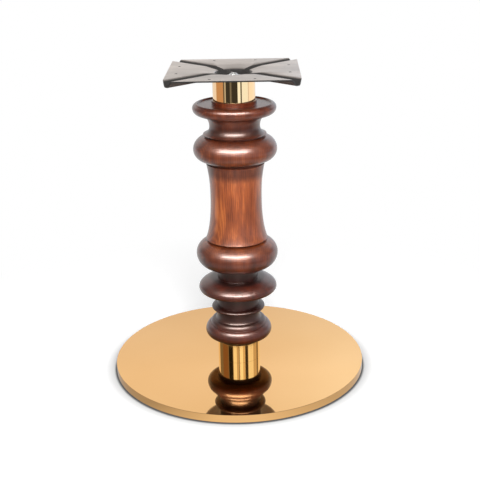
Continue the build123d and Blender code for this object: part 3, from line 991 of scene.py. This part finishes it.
@dataclass
class Card:
    """A curved studio card that only reflections see: a dark flag, a grey screen or a tinted wall."""

    name: str
    start: float
    end: float
    low: float
    high: float
    tone: float
    distance: float = 2.0
    tint: Colour = WHITE
    gathered: float = 0.1
    steps: int = 16

    def build(self) -> None:
        """Put the card up in one plain tone."""
        made, wires, out = new_material(self.name)
        level = wires.spread(wires.seen(), 0.0, 1.0, self.gathered, self.tone)
        glow = wires.add("ShaderNodeEmission", {"Color": self.tint, "Strength": level})
        wires.feed(out.inputs["Surface"], glow.outputs[0])
        self.hang(made)

    def hang(self, material: bpy.types.Material) -> None:
        """Bend the card round the axis between two bearings from the camera's side."""
        points = []
        for step in range(self.steps + 1):
            bearing = math.radians(self.start + (self.end - self.start) * step / self.steps)
            x, y = self.distance * math.sin(bearing), -self.distance * math.cos(bearing)
            points += [(x, y, self.low), (x, y, self.high)]
        faces = [(2 * i, 2 * i + 2, 2 * i + 3, 2 * i + 1) for i in range(self.steps)]
        mesh = bpy.data.meshes.new(self.name)
        mesh.from_pydata(points, [], faces)
        mesh.materials.append(material)
        card = new_object(self.name, mesh)
        card.visible_camera = False
        card.visible_diffuse = False
        card.visible_shadow = False
        card.visible_transmission = False


@dataclass
class StripeWall:
    """The ring of cards that one gold tube mirrors, each a stripe on the tube."""

    name: str
    low: float
    high: float
    stripes: tuple[Stripe, ...]

    def build(self) -> None:
        """Hang a card for each stripe, given by its name, two bearings, tone and tint."""
        for name, start, end, tone, tint in self.stripes:
            Card(f"{self.name}_{name}", start, end, self.low, self.high, tone, tint=tint).build()


@dataclass
class SoftBox:
    """A rectangular soft light aimed at the column, which may be kept to its receivers."""

    name: str
    bearing: float
    elevation: float
    distance: float
    width: float
    height: float
    power: float
    lights: bool = True
    mirrored: bool = True
    target: tuple[float, float, float] = (0.0, 0.0, 0.4)
    receivers: tuple[str, ...] = ("turned_wood", "dish_washer", "domed_bolt")

    def build(self) -> None:
        """Hang the light, facing its target."""
        turn, lift = math.radians(self.bearing), math.radians(self.elevation)
        away = Vector((math.sin(turn) * math.cos(lift), -math.cos(turn) * math.cos(lift), math.sin(lift)))
        data = bpy.data.lights.new(self.name, "AREA")
        data.shape = "RECTANGLE"
        data.size, data.size_y = self.width, self.height
        data.energy = self.power
        lamp = new_object(self.name, data)
        lamp.location = Vector(self.target) + away * self.distance
        lamp.rotation_euler = away.to_track_quat("Z", "Y").to_euler()
        lamp.visible_camera = False
        lamp.visible_diffuse = self.lights
        lamp.visible_glossy = self.mirrored
        if not self.lights:
            shown = bpy.data.collections.new(self.name)
            for name in self.receivers:
                shown.objects.link(bpy.data.objects[name])
            lamp.light_linking.receiver_collection = shown


@dataclass
class Backdrop:
    """The white sweep behind the object, as mirrors see it: dimmer low down, brighter to the right."""

    start: float = 128.0
    end: float = 232.0
    distance: float = 3.5
    low: float = 0.0
    high: float = 4.5
    dim_height: float = 1.35
    full_height: float = 1.85
    top_height: float = 2.3
    dim_tone: float = 0.84
    full_tone: float = 1.0
    top_share: float = 0.95
    side_reach: float = 0.6
    side_gain: Colour = (1.12, 1.20, 1.30, 1.0)
    gathered: float = 0.1

    def build(self) -> None:
        """Hang the sweep."""
        sweep = Card("backdrop", self.start, self.end, self.low, self.high, self.full_tone, self.distance)
        made, wires, out = new_material("backdrop")
        x, _, height = wires.axes(wires.place())
        tone = wires.spread(height, self.dim_height, self.full_height, self.dim_tone, self.full_tone)
        high = wires.spread(height, self.full_height, self.top_height, 1.0, self.top_share)
        tone = wires.times(tone, high)
        tint = wires.blend(wires.spread(x, 0.0, self.side_reach), WHITE, self.side_gain)
        level = wires.times(tone, wires.spread(wires.seen(), 0.0, 1.0, self.gathered, 1.0))
        glow = wires.add("ShaderNodeEmission", {"Color": tint, "Strength": level})
        wires.feed(out.inputs["Surface"], glow.outputs[0])
        sweep.hang(made)


LOW_STRIPES: tuple[Stripe, ...] = (
    ("brown_left", -100.0, -60.0, 0.27, BROWN),
    ("dark_left", -58.0, -35.0, 0.02, WHITE),
    ("pale_left", -33.0, -14.0, 1.15, PALE),
    ("gold_middle", -13.5, 0.0, 0.72, WHITE),
    ("dark_line", 0.5, 3.5, 0.05, WHITE),
    ("pale", 4.0, 22.0, 1.25, PALE),
    ("gold", 22.5, 34.0, 0.85, WHITE),
    ("dark_right", 35.0, 49.0, 0.05, WHITE),
    ("pale_right", 50.0, 84.0, 1.1, PALE),
    ("gold_right", 85.0, 110.0, 0.7, WHITE),
)
HIGH_STRIPES: tuple[Stripe, ...] = (
    ("pale_left", -145.0, -107.0, 0.95, ROSE),
    ("gold_left", -106.0, -56.0, 0.62, BROWN),
    ("brown_left", -55.5, -50.0, 0.15, WHITE),
    ("gold_middle", -49.5, -43.0, 0.6, WHITE),
    ("dark_left", -42.5, -20.0, 0.05, WHITE),
    ("brown", -19.0, -11.0, 0.22, WHITE),
    ("dark_right", -10.5, 20.0, 0.05, WHITE),
    ("pale", 21.0, 37.0, 1.1, PALE),
    ("dark_line", 38.0, 42.0, 0.08, WHITE),
    ("pale_right", 43.0, 82.0, 1.05, PALE),
    ("brown_line", 82.5, 87.5, 0.85, ROSE),
    ("pale_edge", 88.0, 145.0, 1.15, ROSE),
)


@dataclass
class Studio:
    """Floor, white sweep, soft lights and the dim room in front, as mirrors see it.

    The floor's painted contact shadow beside the rim is listed by its tone at each distance from the axis.
    """

    floor_half: float = 8.0
    surround: float = 0.09
    room_tone: float = 0.25
    mirror_glow: float = 0.92
    mirror_dim: float = 0.2
    left_glow: float = 0.5
    right_glow: float = 0.68
    near_glow: float = 0.72
    near_albedo: float = 0.5
    bounce_albedo: float = 0.6
    # Painted contact shadow: the floor's tone at each distance from the axis.
    painted_contact_shadow: tuple[Pair, ...] = ((0.290, 0.04), (0.302, 0.10), (0.307, 0.58),
                                   (0.328, 0.84), (0.350, 0.96), (0.410, 1.0))
    contact_shadow_width: float = 0.120
    fade_limits: Pair = (0.45, 0.95)
    dim_limits: Pair = (0.7, 1.2)
    behind_limits: Pair = (-0.2, 0.4)
    left_limits: Pair = (-0.22, -0.05)
    right_limits: Pair = (0.06, 0.24)

    def build(self) -> None:
        """Set the stage and the view settings."""
        self.build_world()
        self.build_floor()
        for box in [SoftBox("key_left", -22.0, 45.0, 2.2, 1.7, 0.8, 104.0, lights=False),
                    SoftBox("key_right", 24.0, 45.0, 2.2, 1.1, 0.8, 66.0, lights=False),
                    SoftBox("fill_front", 6.0, 26.0, 2.4, 0.9, 0.9, 120.0, mirrored=False)]:
            box.build()
        Backdrop().build()
        Card("ceiling", -180.0, 180.0, 2.0, 7.0, 0.28, 2.8).build()
        StripeWall("low", 0.92, 1.12, LOW_STRIPES).build()
        StripeWall("high", 0.2, 0.42, HIGH_STRIPES).build()
        bpy.context.scene.view_settings.view_transform = "Standard"

    def build_world(self) -> None:
        """White to the camera, a dim room to mirrors and a low, even level to the rest."""
        world = bpy.data.worlds.new("studio")
        world.use_nodes = True
        world.node_tree.nodes.clear()
        wires = Wiring(world.node_tree)
        level = wires.spread(wires.seen(), 0.0, 1.0, self.surround, self.room_tone)
        level = wires.calc("MAXIMUM", level, wires.add("ShaderNodeLightPath").outputs["Is Camera Ray"])
        sky = wires.add("ShaderNodeBackground", {"Color": WHITE, "Strength": level})
        wires.add("ShaderNodeOutputWorld", {"Surface": sky.outputs[0]})
        bpy.context.scene.world = world

    def build_floor(self) -> None:
        """A pale floor that keeps the object's shadow, has a painted contact shadow beside the rim, and
        runs out to plain white.
        """
        half = self.floor_half
        mesh = bpy.data.meshes.new("floor")
        corners = [(-half, -half, 0), (half, -half, 0), (half, half, 0), (-half, half, 0)]
        mesh.from_pydata(corners, [], [(0, 1, 2, 3)])
        floor = new_object("floor", mesh)
        made, wires, out = new_material("pale_floor")
        place = wires.place()
        far = wires.length(place)
        fade = wires.spread(far, *self.fade_limits)
        # Painted contact shadow: the floor darkened in a ring just outside the rim.
        start = self.painted_contact_shadow[0][0]
        stops = [((reach - start) / self.contact_shadow_width, (tone, tone, tone, 1.0))
                 for reach, tone in self.painted_contact_shadow]
        painted_contact_shadow = wires.ramp(wires.spread(far, start, start + self.contact_shadow_width), stops)
        glow = wires.times(painted_contact_shadow, wires.spread(fade, 0.0, 1.0, self.near_glow, 1.0))
        glow = wires.add("ShaderNodeEmission", {"Strength": glow})
        keep = wires.times(painted_contact_shadow, wires.spread(fade, 0.0, 1.0, self.near_albedo, 0.0))
        shade = wires.add("ShaderNodeBsdfDiffuse", {"Color": keep})
        shown = wires.add("ShaderNodeAddShader", {0: glow.outputs[0], 1: shade.outputs[0]})
        plain = wires.add("ShaderNodeBsdfDiffuse", {"Color": (self.bounce_albedo,) * 3 + (1.0,)})
        x, y, _ = wires.axes(place)
        level = wires.spread(far, *self.dim_limits, self.mirror_glow, self.mirror_dim)
        for share in [wires.spread(x, *self.left_limits, self.left_glow, 1.0),
                      wires.spread(x, *self.right_limits, 1.0, self.right_glow)]:
            level = wires.times(level, share)
        behind = wires.times(wires.spread(y, *self.behind_limits), self.mirror_glow)
        level = wires.calc("MAXIMUM", level, behind)
        bright = wires.add("ShaderNodeEmission", {"Strength": level})
        mirrored = wires.add("ShaderNodeMixShader", {0: wires.seen(), 1: plain.outputs[0],
                                                     2: bright.outputs[0]})
        camera = wires.add("ShaderNodeLightPath").outputs["Is Camera Ray"]
        mixed = wires.add("ShaderNodeMixShader", {0: camera, 1: mirrored.outputs[0], 2: shown.outputs[0]})
        wires.feed(out.inputs["Surface"], mixed.outputs[0])
        mesh.materials.append(made)


@dataclass
class CameraRig:
    """The photograph's viewpoint: level bearing, pitch and roll in degrees, sizes in metres."""

    distance: float = 2.1348
    height: float = 1.0764
    bearing: float = 1.486
    pan: float = -0.19
    pitch: float = 19.58
    roll: float = -1.13
    lens: float = 71.98
    sensor: float = 36.0

    def build(self) -> None:
        """Place the camera."""
        data = bpy.data.cameras.new("view")
        data.lens = self.lens
        data.sensor_width = self.sensor
        camera = new_object("view", data)
        spot = math.radians(self.bearing)
        place = Vector((self.distance * math.sin(spot), -self.distance * math.cos(spot), self.height))
        turn = Matrix.Rotation(math.radians(self.bearing + self.pan), 4, "Z")
        tilt = Matrix.Rotation(math.radians(90.0 - self.pitch), 4, "X")
        roll = Matrix.Rotation(math.radians(self.roll), 4, "Z")
        camera.matrix_world = Matrix.Translation(place) @ turn @ tilt @ roll
        bpy.context.scene.camera = camera


def main() -> None:
    """Build the object, the studio and the camera."""
    logging.basicConfig(level=logging.INFO, format="%(name)s: %(message)s")
    finishes = Finishes()
    lathe = Lathe()
    Foot().build(lathe, finishes)
    TurnedColumn().build(lathe, finishes)
    Sleeves().build(lathe, finishes)
    TopPlate().build(finishes)
    Studio().build()
    CameraRig().build()


if __name__ == "__main__":
    main()
